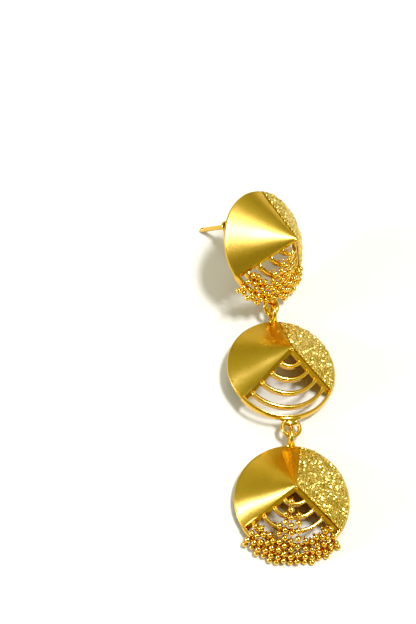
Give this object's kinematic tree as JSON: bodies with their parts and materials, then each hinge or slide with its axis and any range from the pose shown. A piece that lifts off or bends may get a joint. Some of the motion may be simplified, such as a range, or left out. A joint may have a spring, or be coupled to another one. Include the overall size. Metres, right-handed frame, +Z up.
{
  "type": "chandelier earring",
  "caption": "Chandelier earring lying flat: linked hollow cone discs with plain, nugget-textured and pierced sectors, ball-chain fringes and an ear post.",
  "frame": {"origin": "on the surface that the earring lies on, under the middle of its bounding box", "axes": "+Y along the earring's length, from the bottom disc towards the top disc; +Z up from the surface"},
  "size_m": [0.026, 0.0684, 0.0163],
  "materials": {
    "disc_gold": "gilt: satin, nugget-cast and polished in different sectors",
    "chain_gold": "polished gilt balls on fine wire"
  },
  "bodies": {
    "root": {"top_disc": "disc_gold", "middle_disc": "disc_gold", "bottom_disc": "disc_gold", "bottom_chain_01": "chain_gold", "bottom_chain_02": "chain_gold", "bottom_chain_03": "chain_gold", "bottom_chain_04": "chain_gold", "bottom_chain_05": "chain_gold", "bottom_chain_06": "chain_gold", "bottom_chain_07": "chain_gold", "bottom_chain_08": "chain_gold", "bottom_chain_09": "chain_gold", "bottom_chain_10": "chain_gold", "bottom_chain_11": "chain_gold", "bottom_chain_12": "chain_gold", "bottom_chain_13": "chain_gold", "bottom_chain_14": "chain_gold", "bottom_chain_15": "chain_gold", "top_chain_01": "chain_gold", "top_chain_02": "chain_gold", "top_chain_03": "chain_gold", "top_chain_04": "chain_gold", "top_chain_05": "chain_gold", "top_chain_06": "chain_gold", "top_chain_07": "chain_gold", "top_chain_08": "chain_gold", "top_chain_09": "chain_gold", "top_chain_10": "chain_gold", "top_chain_11": "chain_gold", "top_chain_12": "chain_gold", "top_chain_13": "chain_gold", "top_chain_14": "chain_gold", "top_chain_15": "chain_gold"}
  },
  "joints": []
}
